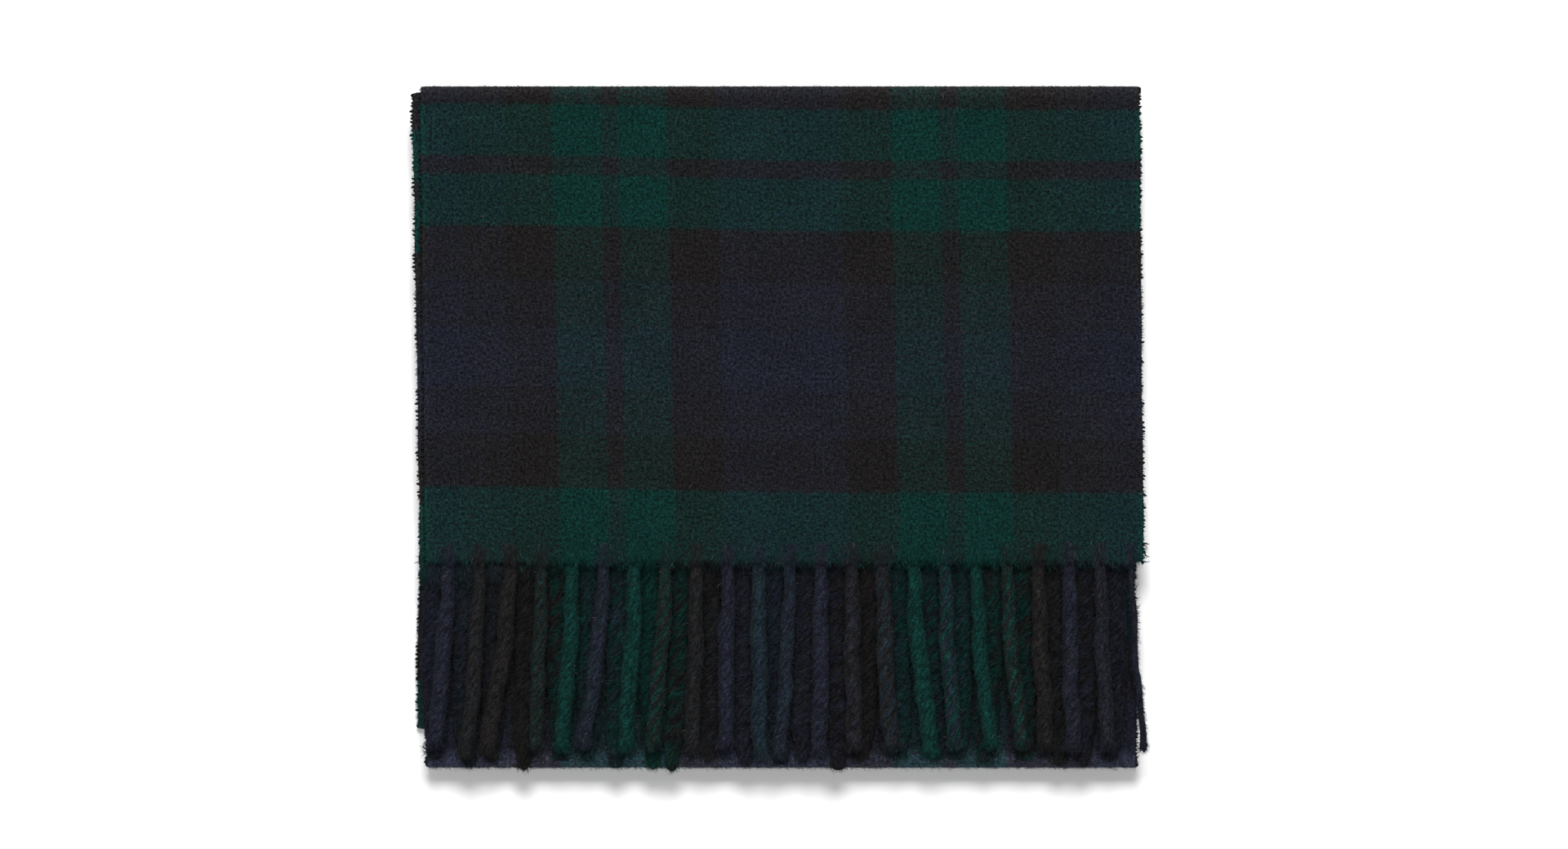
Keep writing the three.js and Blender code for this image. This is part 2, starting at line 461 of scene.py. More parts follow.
FIBRES_PER_PIECE = 19000
FIBRE_BEND = 0.2  # how far a fibre bows out, as a share of its length
FLOOR_GAP = 0.02  # no fibre reaches lower than this
SPIKE_POINTS = 7
SPIKE_FACES = np.array([
    (0, 2, 1), (0, 1, 4), (0, 4, 3), (1, 2, 5), (1, 5, 4),
    (2, 0, 3), (2, 3, 5), (3, 4, 6), (4, 5, 6), (5, 3, 6),
])


def spikes(roots, tips, radii):
    """Points and faces of closed three-sided spikes that bend a little between their roots and tips."""
    way = tips - roots
    length = np.linalg.norm(way, axis=1, keepdims=True)
    bow = unit(np.cross(way, np.array([0.12, 0.09, 0.98])))
    bent = (roots + tips) / 2 + bow * length * rng.normal(0, FIBRE_BEND, length.shape)
    beside = unit(np.cross(way, np.array([0.31, 0.17, 0.94])))
    above = unit(np.cross(way, beside))
    corners = []
    for centre, thick in ((roots, radii), (bent, 0.8 * radii)):
        for corner in range(3):
            angle = math.tau * corner / 3
            corners.append(centre + thick * (math.cos(angle) * beside + math.sin(angle) * above))
    points = np.stack([*corners, tips], 1).reshape(-1, 3)
    points[:, 2] = np.maximum(points[:, 2], FLOOR_GAP)
    first = SPIKE_POINTS * np.arange(len(roots))[:, None, None]
    return points, (first + SPIKE_FACES).reshape(-1, 3)


class Fibres:
    """Collects fine fibres, and makes pieces of them."""

    def __init__(self):
        self.parts = []

    def add(self, roots, tips, radius, materials):
        self.parts.append((roots, tips, np.full(len(roots), radius), materials))

    def make(self, name):
        """Several pieces, each of at most FIBRES_PER_PIECE fibres. Several pieces, each
        small enough to be exported as it is.
        """
        roots, tips, radii, materials = joined(self.parts)
        pieces = max(1, math.ceil(len(roots) / FIBRES_PER_PIECE))
        things = []
        for number in range(pieces):
            mine = slice(number, None, pieces)
            points, faces = spikes(roots[mine], tips[mine], radii[mine, None])
            label = name if pieces == 1 else f"{name}_{number + 1}"
            face_materials = np.repeat(materials[mine], len(SPIKE_FACES))
            things.append(make_mesh(label, points, faces, FIBRES, face_materials))
        return things


# ---------------- the cloth

RUN_STEP = 1.5
HIDDEN_RUN_STEP = 2.4  # for the long stretch that lies inside the stack
TURN_STEPS = 15  # an odd number, so that no ring of points lies on a crease's middle plane
COLUMNS = 150
RIM_STEPS = 5

END_THINNING = 0.8  # how thick the cloth still is at its very end
END_ROUNDING = 1.6  # how far from there it has its full thickness
RAGGED = 1.3  # how unevenly the last wefts lie
RAGGED_WAVE = 5.3
RAGGED_DEPTH = 4  # how far into the cloth they do
ASKEW_FROM_X = -108  # where the end of the cloth begins to lie further back
ASKEW_OVER = 45
ASKEW_DEPTH = 25
EDGE_FROM = 90  # where the cloth's edges begin, from the middle of its width
EDGE_OVER = 30  # and how much further out they are at their full effect
EDGE_WAVER = 0.25
EDGE_WAVE = 60
DENT = 1.4  # how far the right edges are pushed in under the fringe's root
DENT_Y = -58
DENT_LENGTH = 15
BILLOW_GAP = 6  # the upper layers begin to billow this far from the top crease
BILLOW_RISE = 40  # and do so fully this much further on


def layer_z(layer):
    """The middle height of a layer, counted from the lowest, 0."""
    return THICKNESS / 2 + layer * PITCH


def crease_z(lower_layer, upper_layer):
    """The height of the middle plane of the crease between two layers."""
    return (layer_z(lower_layer) + layer_z(upper_layer)) / 2


def run(y_from, y_to, layer, step=RUN_STEP):
    """Stations of a flat stretch: y, z, and the normal on the left of the way."""
    y = np.linspace(y_from, y_to, max(2, round(abs(y_to - y_from) / step)))
    z = np.full_like(y, layer_z(layer))
    return np.stack([y, z, np.zeros_like(y), np.full_like(y, np.sign(y_to - y_from))], 1)


def turn(y, lower_layer, upper_layer, downwards, side):
    """Stations of a crease between two layers. side is +1 at the +Y end and -1 at the -Y end."""
    radius = (upper_layer - lower_layer) * PITCH / 2
    z = crease_z(lower_layer, upper_layer)
    angles = np.linspace(math.pi / 2, -math.pi / 2, TURN_STEPS + 1)[1:-1]
    angles = angles if downwards else angles[::-1]
    left = side if downwards else -side
    out_y = side * np.cos(angles)
    out_z = np.sin(angles)
    return np.stack([y + radius * out_y, z + radius * out_z, left * out_y, left * out_z], 1)


@dataclass
class Cloth:
    """One stretch of the cloth, as stations along its middle line."""

    stations: list
    ends: list  # distances along the stretch
    pattern: list  # and the places in the weft's order of colours that lie there
    shifts: tuple  # distances, and how far the cloth lies sideways there
    widths: tuple = ([0.0], [1.0])  # distances, and the share of the full width
    painted_light: tuple = ([0.0], [0.0])  # distances, and how much painted highlight (above 0) or painted shade (below 0) the cloth gets there
    raised: float = 0.0  # how high the layer billows over the one below it
    dented: bool = False  # whether its right edge is pushed in
    fringe: bool = False  # whether it starts at an end of the cloth
    askew: float = 0.0  # how far that end is drawn back, except at its left edge
    seed: int = 1

    def __post_init__(self):
        self.stations = np.concatenate(self.stations)
        steps = np.linalg.norm(np.diff(self.stations[:, :2], axis=0), axis=1)
        self.distance = np.concatenate([[0.0], np.cumsum(steps)])
        self.length = self.distance[-1]

    def along(self, distance, across):
        """The place in the weft's order of colours: the weft bows a little across the cloth."""
        return np.interp(distance, self.ends, self.pattern) + WEFT_BOW * smooth((across + 100) / 120)

    def warp(self, distance, across):
        """The place in the warp's order of colours: the warp keeps straighter than the cloth's edges do."""
        lean = np.interp(distance, *self.shifts) - np.interp(self.length / 4, *self.shifts)
        return across - lean * (1 - smooth((np.abs(across) - 85) / 30))

    def point(self, distance, across, height):
        """The points this far along and across the cloth, and this high over its middle."""
        distance, across, height = np.broadcast_arrays(distance, across, height)
        y, z, normal_y, normal_z = (np.interp(distance, self.distance, row) for row in self.stations.T)
        x = across * np.interp(distance, *self.widths) + np.interp(distance, *self.shifts)
        side = smooth(np.abs(across) / 30 - 3.0) * np.sign(across)
        x = x + side * EDGE_WAVER * wander(distance, EDGE_WAVE, self.seed)
        if self.dented:
            dent = DENT * np.exp(-(((y - DENT_Y) / DENT_LENGTH) ** 2))
            x = x - dent * smooth((across - EDGE_FROM) / EDGE_OVER)
        if self.fringe:
            height = height * lerp(END_THINNING, 1.0, smooth(distance / END_ROUNDING))
            ragged = RAGGED * wander(x, RAGGED_WAVE, self.seed) * (1 - smooth(distance / RAGGED_DEPTH))
            drawn_back = self.askew * smooth((x - ASKEW_FROM_X) / ASKEW_OVER)
            y = y + ragged + drawn_back * (1 - smooth(distance / ASKEW_DEPTH))
        flat = normal_z > 0.99
        lift = self.raised * smooth((TOP_CREASE_Y - BILLOW_GAP - y) / BILLOW_RISE) * flat
        billow = 0.5 + 0.25 * wander(x + 0.3 * y, 120.0, 5) + 0.25 * wander(y - 0.4 * x, 90.0, 6)
        return np.stack([x, y + normal_y * height, z + normal_z * height + lift * billow], -1)

    def section(self):
        """The closed outline across the cloth: its left face, a rim, its right face and the other rim."""
        inner = WIDTH / 2 - HALF
        row = np.linspace(-inner, inner, COLUMNS)
        bend = np.linspace(math.pi / 2, -math.pi / 2, RIM_STEPS + 1)[1:-1]
        rim_across = inner + HALF * np.cos(bend)
        rim_height = HALF * np.sin(bend)
        across = np.concatenate([row, rim_across, row[::-1], -rim_across])
        height = np.concatenate([np.full(COLUMNS, HALF), rim_height, np.full(COLUMNS, -HALF), -rim_height])
        return across, height

    def make(self, name):
        """One closed mesh of walls and two end faces. Each end face is a flat part and two rims."""
        across, height = self.section()
        sides = len(across)
        rings = len(self.distance)
        down = self.distance[:, None]
        points = self.point(down, across, height)
        numbers = {
            "across": self.warp(down, across).ravel(),
            "along": self.along(down, across).ravel(),
            "distance": np.repeat(self.distance, sides),
            "face": np.tile(np.sign(height), rings),
            "painted_light": np.repeat(np.interp(self.distance, *self.painted_light), sides),
        }
        walls = ring_faces(rings, sides)[:, ::-1]
        rims = RIM_STEPS - 1
        upper = np.arange(COLUMNS)
        lower = 2 * COLUMNS + rims - 1 - upper
        cap = np.stack([upper[:-1], upper[1:], lower[1:], lower[:-1]], 1)
        last = (rings - 1) * sides
        right = np.arange(COLUMNS - 1, COLUMNS + rims + 1)
        left = np.concatenate([np.arange(2 * COLUMNS + rims - 1, sides), [0]])
        groups = [walls, cap, (cap + last)[:, ::-1]]
        for rim in (right, left):
            groups.append(rim[None, :])
            groups.append((rim + last)[None, ::-1])
        return make_mesh(name, points.reshape(-1, 3), groups, [TARTAN], numbers=numbers)


UNDER_DRAWN_BACK = 5.4  # how much further back the lower end of the cloth lies, except at its left edge
NARROWED = 0.989  # the share of its width that the cloth keeps where it goes round the bottom crease

# Where the colours of the weft lie along each end of the cloth: a distance from the fringe, and the place in
# the order of colours. The first end is the upper one. The two orders meet, mirrored, at the mid fold.
FIRST_END = ((0.0, 26.4, 116.7, 158.9, 520.0, 853.0), (2.0, 28.4, 114.2, 155.9, 520.0, 887.0))
SECOND_END = (
    (0.0, 26.4, 171.0, 339.0, 377.0, 412.0, 853.0),
    (2.0, 28.4, 171.0, 384.8, 422.9, 437.0, 887.0),
)


def middle_x(low, high):
    return (low[0] + high[0]) / 2


FLAP_X = middle_x(FLAP_LOW, FLAP_HIGH)
UNDER_X = middle_x(UNDER_LOW, UNDER_HIGH)
SECOND_X = middle_x(SECOND_LOW, SECOND_HIGH)
THIRD_X = middle_x(THIRD_LOW, THIRD_HIGH)
BASE_X = middle_x(BASE_LOW, BASE_HIGH)


def doubled(y_from, crease, upper_layer, lower_layer, side):
    """Stations from one panel round a crease and back to the middle of the next panel down."""
    return [
        run(y_from, crease, upper_layer),
        turn(crease, lower_layer, upper_layer, True, side),
        run(crease, 0, lower_layer),
    ]


def build_cloths():
    """The five stretches of cloth, each crossing one crease, cut where they lie flat inside a panel."""
    half_bottom = -BOTTOM_CREASE_Y
    outer_turn = math.pi * OUTER_RADIUS
    inner_turn = math.pi * INNER_RADIUS

    flap = TOP_CREASE_Y - TOP_ROOT_Y
    first = Cloth(
        doubled(TOP_ROOT_Y, TOP_CREASE_Y, 7, 4, 1),
        *FIRST_END,
        shifts=([0, flap, flap + 12], [FLAP_X + 0.4, FLAP_X - 1.3, SECOND_X]),
        # painted highlight along the top crease
        painted_light=([flap - 1, flap + 2, flap + 6, flap + 9], [0.0, 0.55, 0.55, 0.0]),
        raised=0.5,
        fringe=True,
        seed=21,
    )
    under = TOP_CREASE_Y - UNDER_ROOT_Y
    second = Cloth(
        doubled(UNDER_ROOT_Y, TOP_CREASE_Y, 6, 5, 1),
        *SECOND_END,
        shifts=([0, under, under + 12], [UNDER_X + 1.2, UNDER_X - 1.7, SECOND_X]),
        # painted shade over the end of this cloth, between the tassels
        painted_light=([0, 7, 10], [-0.3, -0.3, 0.0]),
        dented=True,
        raised=0.4,
        fringe=True,
        askew=UNDER_DRAWN_BACK,
        seed=22,
    )

    def later(order, start):
        """An order of colours as seen from a stretch that starts this far from the fringe."""
        return [distance - start for distance in order[0]], order[1]

    inner_start = flap + outer_turn + TOP_CREASE_Y
    inner = Cloth(
        doubled(0, BOTTOM_CREASE_Y, 4, 3, -1),
        *later(FIRST_END, inner_start),
        shifts=([0, half_bottom, half_bottom + 34], [SECOND_X, SECOND_X, THIRD_X]),
        widths=([0, half_bottom, half_bottom + 6, half_bottom + 30], [1.0, NARROWED, NARROWED, 1.0]),
        dented=True,
        seed=23,
    )
    outer_start = under + inner_turn + TOP_CREASE_Y
    outer = Cloth(
        doubled(0, BOTTOM_CREASE_Y, 5, 2, -1),
        *later(SECOND_END, outer_start),
        shifts=([0, half_bottom + 12, half_bottom + 38], [SECOND_X, SECOND_X + 0.1, THIRD_X - 0.6]),
        widths=([0, half_bottom, half_bottom + 12, half_bottom + 38], [1.0, NARROWED, NARROWED, 1.0]),
        dented=True,
        # painted highlight on the bottom crease, with a little painted shade just before it
        painted_light=([half_bottom - 3, half_bottom + 0.5, half_bottom + 6, half_bottom + 10], [-0.2, 1.6, 1.6, 0.0]),
        seed=24,
    )
    middle_start = inner_start + half_bottom + inner_turn + half_bottom
    to_fold = LOW_CREASE_Y + outer_turn + LOW_CREASE_Y - MID_FOLD_Y + inner_turn / 2
    whole = 2 * to_fold + inner_turn - outer_turn
    at_start = np.interp(middle_start, *FIRST_END)
    at_fold = FIRST_END[1][-1]
    at_end = np.interp(outer_start + 2 * half_bottom + outer_turn, *SECOND_END)
    middle = Cloth(
        [
            run(0, LOW_CREASE_Y, 3, HIDDEN_RUN_STEP),
            turn(LOW_CREASE_Y, 0, 3, True, 1),
            run(LOW_CREASE_Y, MID_FOLD_Y, 0, HIDDEN_RUN_STEP),
            turn(MID_FOLD_Y, 0, 1, False, -1),
            run(MID_FOLD_Y, LOW_CREASE_Y, 1, HIDDEN_RUN_STEP),
            turn(LOW_CREASE_Y, 1, 2, False, 1),
            run(LOW_CREASE_Y, 0, 2, HIDDEN_RUN_STEP),
        ],
        [0, to_fold, whole],
        [at_start, at_fold, at_end],
        shifts=(
            [0, LOW_CREASE_Y - 8, LOW_CREASE_Y + 18, to_fold - 75, to_fold - 25, to_fold + 25, to_fold + 75,
             whole - LOW_CREASE_Y - 8, whole - LOW_CREASE_Y + 8],
            [THIRD_X, THIRD_X, BASE_X, BASE_X, BASE_X - 1.3, BASE_X - 1.3, BASE_X, BASE_X, THIRD_X],
        ),
        dented=True,
        seed=25,
    )
    return first, second, inner, outer, middle


def bend_at(thing):
    """Bakes a cloth's placement into its mesh."""
    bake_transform(thing)


# ---------------- nap and edges

NAP_RADIUS = 0.06
END_FIBRE_RADIUS = 0.07
EDGE_FIBRE_RADIUS = 0.12
LOOSE_END_RADIUS = 0.26
FIBRES_PER_TOOTH = 6

BODIES = ("base_panel", "third_panel", "second_panel", "top_flap")
BODY_LIMITS = (crease_z(1, 2), crease_z(3, 4), crease_z(5, 6))


def body_number(z):
    """Which body a height in the folded stack belongs to, from the lowest."""
    return np.searchsorted(BODY_LIMITS, z)


def shed(cloth, distance, across, roots, tips, radius, fibres, shares=MIXED):
    """Colours fibres after the places they are raised from, and gives each to the body it lies on."""
    across = np.broadcast_to(across, distance.shape)
    materials = fibre_choice(cloth_yarn(across, cloth.along(distance, across)), shares)
    owner = body_number(cloth.point(distance, 0.0, 0.0)[:, 2])
    for number, body in enumerate(BODIES):
        mine = owner == number
        if mine.any():
            fibres[body].add(roots[mine], tips[mine], radius, materials[mine])


def raise_nap(cloth, face, first, last, density, fibres, spread=math.pi, shares=MIXED, highest=0.55):
    """Short fibres on one face of a stretch, from one distance along it to another: so many to a square
    millimetre. They lie within the given angle of the weft's direction, and stand up to the given height."""
    count = int((last - first) * WIDTH * density)
    distance = rng.uniform(first, last, count)
    across = rng.uniform(-WIDTH / 2, WIDTH / 2, count)
    length = rng.uniform(0.7, 2.2, count)
    heading = rng.uniform(-spread, spread, count)
    rise = rng.uniform(0.04, highest, count) * rng.random(count)
    roots = cloth.point(distance, across, face * (HALF - 0.02))
    tip_distance = np.clip(distance + length * np.sin(heading), 0, cloth.length)
    tip_across = np.clip(across + length * np.cos(heading), -WIDTH / 2 - 0.5, WIDTH / 2 + 0.5)
    tips = cloth.point(tip_distance, tip_across, face * (HALF + rise))
    shed(cloth, distance, across, roots, tips, NAP_RADIUS, fibres, shares)


def fray_edges(cloth, fibres):
    """A few fibres standing out from every tooth of both edges."""
    count = int(cloth.length / TOOTH_PITCH * FIBRES_PER_TOOTH)
    for side in (-1, 1):
        distance = rng.uniform(0.3, cloth.length - 0.3, count)
        start = side * (WIDTH / 2 - 0.4)
        reach = start + side * (0.4 + 1.3 * rng.random(count) ** 1.6)
        height = rng.uniform(-0.6, 0.6, count)
        roots = cloth.point(distance, start, height)
        tip_distance = np.clip(distance + rng.normal(0, 0.45, count), 0, cloth.length)
        tips = cloth.point(tip_distance, reach, height)
        shed(cloth, distance, start, roots, tips, EDGE_FIBRE_RADIUS, fibres)


def fray_end(cloth, count, longest, shares, fibres):
    """Fibres of the last wefts and of the warp that hang over the end of the cloth, on top of the fringe."""
    distance = rng.uniform(0.0, 5.0, count)
    across = rng.uniform(-WIDTH / 2 + 0.5, WIDTH / 2 - 0.5, count)
    roots = cloth.point(distance, across, rng.uniform(0.1, 1.0, count) * HALF)
    reach = rng.uniform(0.8, longest, count)
    tips = roots + np.stack([rng.normal(0, 0.9, count), -reach, reach * rng.uniform(0.05, 0.5, count)], 1)
    shed(cloth, distance, across, roots, tips, END_FIBRE_RADIUS, fibres, shares)


def leave_ends(cloth, side, first, last, count, fibres):
    """A few longer ends of the weft that stand out of one edge, between two distances along it."""
    distance = np.sort(rng.uniform(first, last, count))
    height = rng.uniform(-0.5, 0.6, count)
    reach = rng.uniform(1.2, 3.6, count)
    start = side * (WIDTH / 2 - 0.6)
    roots = cloth.point(distance, start, height)
    tip_distance = np.clip(distance - rng.uniform(-0.8, 2.6, count), 0, cloth.length)
    tips = cloth.point(tip_distance, start + side * reach, height)
    shed(cloth, distance, start, roots, tips, LOOSE_END_RADIUS, fibres)


BEAD_SIDES = 6
BEAD_RINGS = 5


def bead_shape():
    """A small closed ball: its points at a distance of 1 from its middle, and its triangles."""
    polar = math.pi * np.arange(1, BEAD_RINGS)[:, None] / BEAD_RINGS
    side = np.arange(BEAD_SIDES)
    angle = math.tau * side / BEAD_SIDES
    rings = np.sin(polar) * np.cos(angle), np.sin(polar) * np.sin(angle), np.cos(polar)
    rings = np.stack(np.broadcast_arrays(*rings), -1).reshape(-1, 3)
    points = np.concatenate([[(0, 0, 1)], rings, [(0, 0, -1)]])
    following = (side + 1) % BEAD_SIDES
    bottom = np.full(BEAD_SIDES, len(points) - 1)
    last_ring = bottom - BEAD_SIDES
    top_faces = np.stack([0 * side, 1 + side, 1 + following], 1)
    quads = 1 + ring_faces(BEAD_RINGS - 1, BEAD_SIDES)
    bottom_faces = np.stack([bottom, last_ring + following, last_ring + side], 1)
    return points, np.concatenate([top_faces, quads[:, [0, 3, 2]], quads[:, [0, 2, 1]], bottom_faces])


class Edges:
    """Collects the weft's turns along the cloth's edges, and makes one piece of them for each body."""

    def __init__(self):
        self.parts = {body: [] for body in BODIES}
        self.shape, self.faces = bead_shape()

    def add(self, cloth):
        """A turn of the weft at every tooth of both edges."""
        for side in (-1, 1):
            distance = np.arange(TOOTH_PITCH / 2, cloth.length, TOOTH_PITCH)
            distance = distance + rng.uniform(-0.18, 0.18, len(distance))
            proud = 0.15 + 1.15 * rng.random(len(distance)) ** 1.4
            middle = side * (WIDTH / 2 - 1.0 + proud)
            reach = 0.95 + 0.1 * rng.random(len(distance))
            lean = rng.uniform(-0.35, 0.35, len(distance))
            ball = self.shape[None]
            pointed = 0.58 - 0.24 * ball[..., 0] * side
            points = cloth.point(
                distance[:, None] + ball[..., 1] * pointed + lean[:, None] * ball[..., 0] * side,
                middle[:, None] + ball[..., 0] * reach[:, None],
                ball[..., 2] * (HALF - 0.08),
            )
            along = cloth.along(distance, middle)
            owner = body_number(cloth.point(distance, middle, 0.0)[:, 2])
            for number, body in enumerate(BODIES):
                mine = owner == number
                sides = np.full(mine.sum(), side)
                self.parts[body].append((points[mine], along[mine], distance[mine], sides))

    def make(self, body):
        points, along, distance, side = joined(self.parts[body])
        size = len(self.shape)
        first = size * np.arange(len(points))[:, None, None]
        faces = (first + self.faces).reshape(-1, 3)
        numbers = {
            "across": np.repeat(side * WIDTH / 2, size),
            "along": np.repeat(along, size),
            "distance": np.repeat(distance, size) + np.tile(self.shape[:, 1], len(points)),
            "face": np.tile(self.shape[:, 2], len(points)),
        }
        return make_mesh(f"{body}_weft_turns", points.reshape(-1, 3), faces, [TARTAN], numbers=numbers)


# For each stretch: how thickly the nap stands on its left face and on its right face.
NAP_DENSITIES = ((0.62, 0.10), (0.10, 0.12), (0.06, 0.06), (0.10, 0.35), (0.06, 0.06))


def raise_all(cloths, naps, edges):
    """The nap, the frayed ends and the weft's turns of all the stretches."""
    first, second, _, outer, _ = cloths
    for cloth, (left, right) in zip(cloths, NAP_DENSITIES):
        raise_nap(cloth, 1, 0, cloth.length, left, naps)
        raise_nap(cloth, -1, 0, cloth.length, right, naps)
        fray_edges(cloth, naps)
        edges.add(cloth)
    fray_end(first, 7500, 3.0, BRIGHT, naps)
    fray_end(second, 8000, 5.0, MIXED, naps)
    below_root = -TOP_ROOT_Y
    crease = -BOTTOM_CREASE_Y
    round_crease = crease + math.pi * OUTER_RADIUS
    for cloth, side, start, end, count in (
        (first, 1, 0.2, 7.0, 12),
        (second, 1, 0.2, 9.0, 16),
        (outer, 1, below_root + 6, below_root + 28, 16),
        (second, -1, 0.2, 10.0, 5),
        (outer, -1, crease - 3, crease + 8, 9),
        (outer, 1, crease - 8, crease + 6, 8),
    ):
        leave_ends(cloth, side, start, end, count, naps)
    # painted highlight: the fibres on the bottom crease mostly take the brightest gains
    raise_nap(outer, -1, crease - 2, round_crease, 2.0, naps, spread=0.5, shares=CREASE_HIGHLIGHT)
    raise_nap(outer, -1, crease + 1.5, round_crease - 2.0, 2.2, naps, spread=1.2, shares=BRIGHT, highest=1.9)
    # painted highlight: the fibres on the top crease mostly take the brighter gains
    over = TOP_CREASE_Y - TOP_ROOT_Y
    raise_nap(first, 1, over - 2, over + math.pi * OUTER_RADIUS, 1.0, naps, shares=BRIGHT)


# ---------------- the fringes

PLIES = 8
SIDES = 32
TWIST_PITCH = 29.0
TASSEL_STEP = 0.6
IN_THE_CLOTH = 1.4  # how far the warp ends run back into the cloth
FULL_RING = 3  # the ring of the CAD tassel that has its full size
ROOT_WIDTH = 0.72  # the share of its full width that a tassel has at its root
ENTERING = 7.0  # how far up the cloth the tassel's colours still show
ENTERING_FIBRES = 260
FULL_WIDTH = 24.0  # how far below its root a tassel gets its full width
TIP_ROUND = 2.4
TIP_SLANT = 0.7  # how much longer one side of the tip is
TIP_RINGS = np.array([0.1, 0.25, 0.4, 0.55, 0.68, 0.8, 0.89, 0.95])  # shares of the rounded tip
LOBE = 0.07  # how deep the grooves between the plies are, as a share of the tassel's size
DIMPLE = 0.05
SWAY = 0.55  # how far a tassel strays from the middle of its CAD node
SWAY_WAVE = 38.0
UNEVEN = 0.07  # how much its width varies
UNEVEN_WAVE = 23.0


def pairs(text):
    """Pairs of colours from a text that lists them."""
    return [tuple(pair.split()) for pair in text.split(",")]


# The two colours of each tassel, from the left.
TOP_COLOURS = pairs(
    "navy navy, line black, black black, black moss, green green, slate navy, green green, green black,"
    "black line, navy navy, slate slate, slate navy, navy navy, black dusk, slate black, green green,"
    "navy green, green green, black green, black black, navy dusk, dusk dusk, navy navy"
)
UNDER_COLOURS = pairs(
    "navy navy, dusk slate, line dusk, black black, black green, green slate, slate green, green green,"
    "green black, black line, navy dusk, slate navy, navy line, navy black, black black, green slate,"
    "green navy, slate green, green line, black green, black line, navy black, navy dusk"
)
TOP_BANDED = (4, 8, 15, 17, 19)  # the numbers of the tassels whose colours wind round each other
UNDER_LONG = (4, 8, 9)  # the numbers of the tassels that keep their whole length
LONG_TRIM = (-1.2, -0.2)
SHORT_TRIM = (-0.8, 3.2)
twisted = {}


def either_yarn(colours, count, shares=MIXED):
    """Materials for so many fibres, each in one of a tassel's two colours."""
    yarns = np.array([YARN_NUMBER[colour] for colour in colours])
    return fibre_choice(yarns[rng.integers(0, 2, count)], shares)


def twisted_material(colours, banded):
    """One material for each pair of colours."""
    key = (*colours, banded)
    if key not in twisted:
        twisted[key] = tassel_material(*key)
    return twisted[key]


